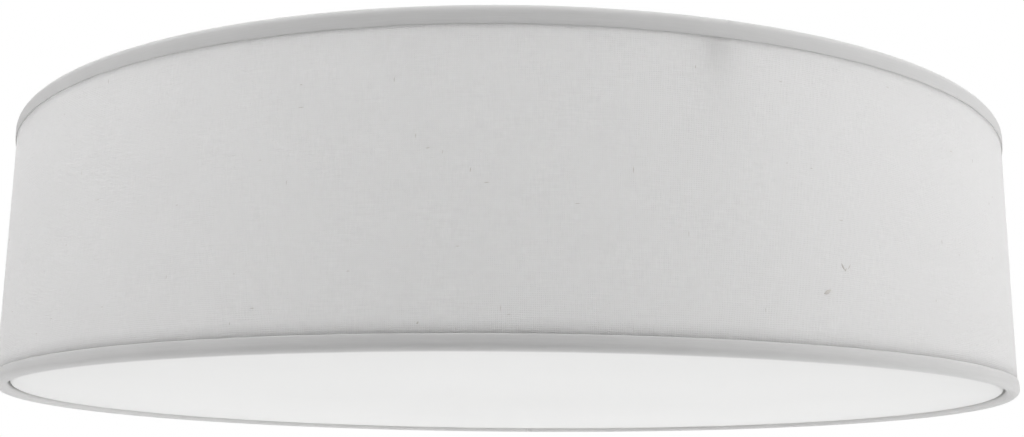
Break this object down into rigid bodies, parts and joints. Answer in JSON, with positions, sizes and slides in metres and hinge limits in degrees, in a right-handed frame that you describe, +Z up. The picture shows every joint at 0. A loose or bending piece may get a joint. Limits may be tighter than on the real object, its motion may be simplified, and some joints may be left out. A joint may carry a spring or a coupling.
{
  "type": "flush mount ceiling light",
  "caption": "Round fabric drum ceiling light, hung close under the ceiling on a threaded rod, with an opal diffuser below and side-mounted bulbs inside.",
  "frame": {"origin": "middle of the ceiling bracket's top face, between its two slots, in the plane of the ceiling", "axes": "+Z up into the ceiling; +X along the ceiling bracket; the front, seen in the picture, is -Y"},
  "size_m": [0.6018, 0.6017, 0.156],
  "materials": {
    "zinc_steel": "bright zinc plate, faint brushing",
    "white_steel": "white powder coat, satin",
    "tinned_metal": "dull tin",
    "brass": "bare brass, satin",
    "block_plastic": "moulded, natural white",
    "earth_insulation": "PVC, green with yellow stripes",
    "live_insulation": "PVC, brown",
    "neutral_insulation": "PVC, blue",
    "grommet_rubber": "black, matt",
    "holder_plastic": "moulded thermoset, off-white",
    "cap_metal": "nickel plated, bright",
    "black_plastic": "glossy black",
    "bulb_plastic": "white, satin gloss",
    "bulb_opal": "frosted opal",
    "liner_plastic": "white styrene sheet, satin",
    "shade_fabric": "off-white plain weave with fine slubs",
    "hem_fabric": "off-white tape, finer weave than the cover",
    "nut_plastic": "white, moulded",
    "opal_acrylic": "opal, satin underside"
  },
  "bodies": {
    "fixture": {"ceiling_bracket": "zinc_steel", "canopy_pan": "white_steel", "canopy_screws": "white_steel", "centre_rod": "zinc_steel", "rod_nuts": "zinc_steel", "rod_washer": "zinc_steel", "terminal_block": "block_plastic", "terminal_clamps": "brass", "terminal_screws": "zinc_steel", "terminal_fixing_screw": "zinc_steel", "earth_screw": "zinc_steel", "earth_tag": "tinned_metal", "earth_lead": "earth_insulation", "lead_grommets": "grommet_rubber", "live_leads": "live_insulation", "neutral_leads": "neutral_insulation", "holder_rivets": "zinc_steel", "holder_screws": "zinc_steel", "holder_bracket_1": "white_steel", "holder_body_1": "holder_plastic", "holder_shell_1": "brass", "holder_contact_1": "brass", "holder_bracket_2": "white_steel", "holder_body_2": "holder_plastic", "holder_shell_2": "brass", "holder_contact_2": "brass", "holder_bracket_3": "white_steel", "holder_body_3": "holder_plastic", "holder_shell_3": "brass", "holder_contact_3": "brass"},
    "shade": {"spider_hub": "white_steel", "spider_arm_1": "white_steel", "spider_arm_2": "white_steel", "spider_arm_3": "white_steel", "arm_rivets": "zinc_steel", "hub_washer": "zinc_steel", "top_ring": "white_steel", "bottom_ring": "white_steel", "shade_liner": "liner_plastic", "shade_cover": "shade_fabric", "top_trim": "hem_fabric", "bottom_trim": "hem_fabric"},
    "shade_nut": {"shade_nut": "nut_plastic"},
    "diffuser": {"diffuser": "opal_acrylic"},
    "bulb_1": {"bulb_cap_1": "cap_metal", "bulb_insulator_1": "black_plastic", "bulb_contact_1": "tinned_metal", "bulb_housing_1": "bulb_plastic", "bulb_globe_1": "bulb_opal"},
    "bulb_2": {"bulb_cap_2": "cap_metal", "bulb_insulator_2": "black_plastic", "bulb_contact_2": "tinned_metal", "bulb_housing_2": "bulb_plastic", "bulb_globe_2": "bulb_opal"},
    "bulb_3": {"bulb_cap_3": "cap_metal", "bulb_insulator_3": "black_plastic", "bulb_contact_3": "tinned_metal", "bulb_housing_3": "bulb_plastic", "bulb_globe_3": "bulb_opal"}
  },
  "joints": [
    {"name": "shade_nut_spin", "type": "hinge", "parent": "shade", "child": "shade_nut", "pos_m": [0, 0, -0.0381], "axis": [0, 0, -1], "range_deg": [0, 7200]},
    {"name": "shade_drop", "type": "slide", "parent": "fixture", "child": "shade", "axis": [0, 0, -1], "range_m": [0, 0.02]},
    {"name": "diffuser_lift", "type": "slide", "parent": "shade", "child": "diffuser", "axis": [0, 0, 1], "range_m": [0, 0.045]},
    {"name": "bulb_1_out", "type": "slide", "parent": "fixture", "child": "bulb_1", "axis": [0.9763, -0.2164, 0], "range_m": [0, 0.03]},
    {"name": "bulb_2_out", "type": "slide", "parent": "fixture", "child": "bulb_2", "axis": [-0.3007, 0.9537, 0], "range_m": [0, 0.03]},
    {"name": "bulb_3_out", "type": "slide", "parent": "fixture", "child": "bulb_3", "axis": [-0.6756, -0.7373, 0], "range_m": [0, 0.03]}
  ],
  "couplings": [
    {"joint": "shade_nut_spin", "follows": "shade_drop", "rad_per_m": 6283.2}
  ]
}
